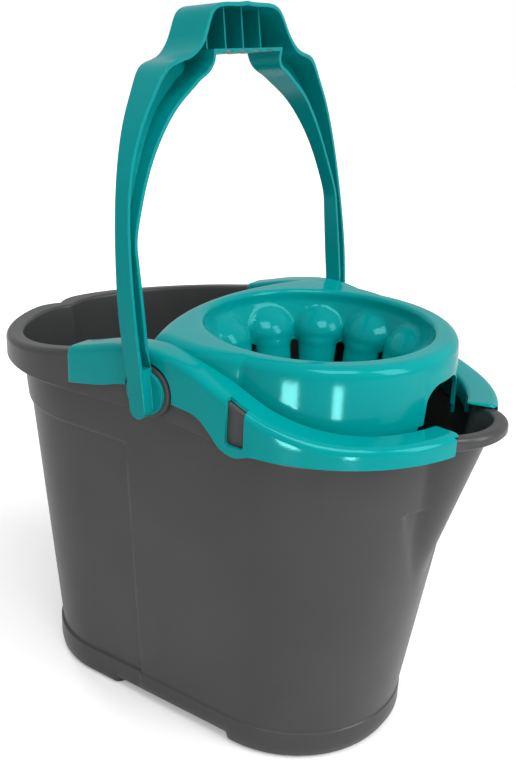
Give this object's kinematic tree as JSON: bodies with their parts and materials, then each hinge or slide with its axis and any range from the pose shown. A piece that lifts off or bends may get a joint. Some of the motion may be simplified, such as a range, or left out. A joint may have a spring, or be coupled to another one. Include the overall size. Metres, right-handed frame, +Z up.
{
  "type": "mop bucket",
  "caption": "Oval plastic mop bucket with a pouring spout, a clip-on ribbed wringer cup and a swinging bail handle.",
  "frame": {"origin": "on the floor, under the middle of the bucket's overall length and width", "axes": "+Z up; +X towards the pouring spout and the wringer; +Y across, along the handle's pivot axis"},
  "size_m": [0.3735, 0.2452, 0.4841],
  "materials": {
    "bucket_plastic": "satin-gloss dark grey polypropylene",
    "wringer_plastic": "glossy turquoise polypropylene",
    "handle_plastic": "glossy turquoise polypropylene"
  },
  "bodies": {
    "bucket": {"bucket": "bucket_plastic"},
    "wringer": {"wringer": "wringer_plastic"},
    "handle": {"handle": "handle_plastic"}
  },
  "joints": [
    {"name": "handle_swing", "type": "hinge", "parent": "bucket", "child": "handle", "pos_m": [0.003, 0, 0.262], "axis": [0, 1, 0], "range_deg": [-76, 120]},
    {"name": "wringer_lift", "type": "slide", "parent": "bucket", "child": "wringer", "axis": [0, 0, 1], "range_m": [0, 0.055]}
  ]
}
